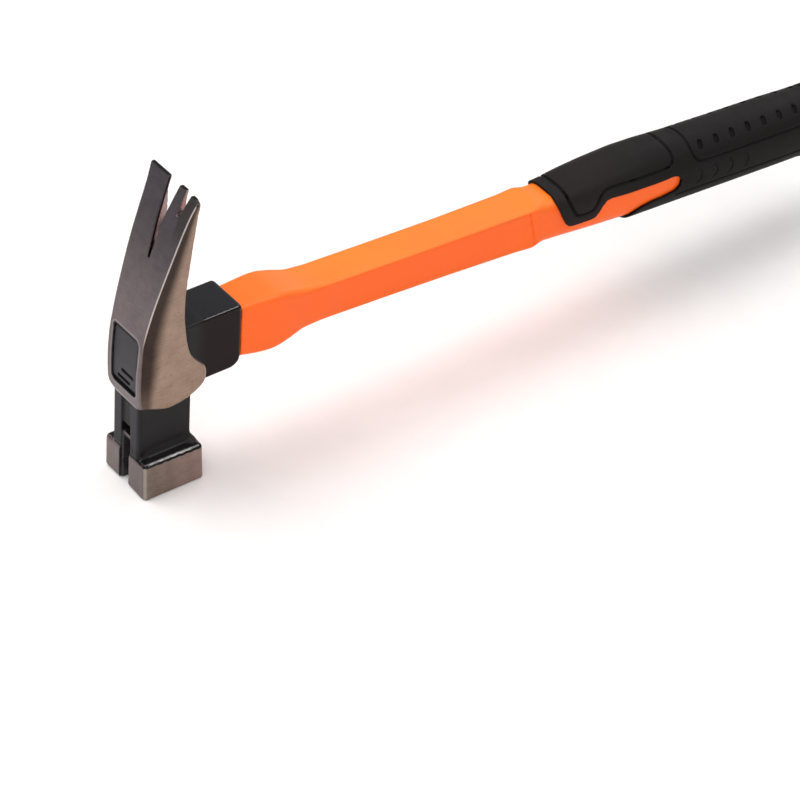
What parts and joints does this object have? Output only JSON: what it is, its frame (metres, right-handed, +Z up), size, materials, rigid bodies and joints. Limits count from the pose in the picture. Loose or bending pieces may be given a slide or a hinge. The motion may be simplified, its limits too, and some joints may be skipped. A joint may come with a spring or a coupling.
{
  "type": "claw hammer",
  "caption": "Claw hammer with a square striking face, nail-starting groove and forked claw on a moulded handle with a rubber grip, for driving and pulling nails.",
  "frame": {"origin": "centre of the square striking face", "axes": "+X along the handle from the head towards the butt, +Z up the head from the striking face to the claw tips, Y across the cheeks"},
  "size_m": [0.3505, 0.0298, 0.1309],
  "materials": {
    "forged_steel": "ground and brushed bright claw, cheeks and face; glossy black painted neck and socket block",
    "magnet": "dark nickel plate",
    "black_plug": "satin moulded",
    "resin": "cured epoxy",
    "glass_fibre": "pultruded, fibres along the length",
    "orange_plastic": "satin moulded polypropylene",
    "black_rubber": "matt moulded thermoplastic rubber with a fine grain"
  },
  "bodies": {
    "root": {"hammer_head": "forged_steel", "nail_magnet": "magnet", "eye_plug": "black_plug", "bonding_resin": "resin", "fibreglass_core": "glass_fibre", "handle_sheath": "orange_plastic", "rubber_grip": "black_rubber"}
  },
  "joints": []
}
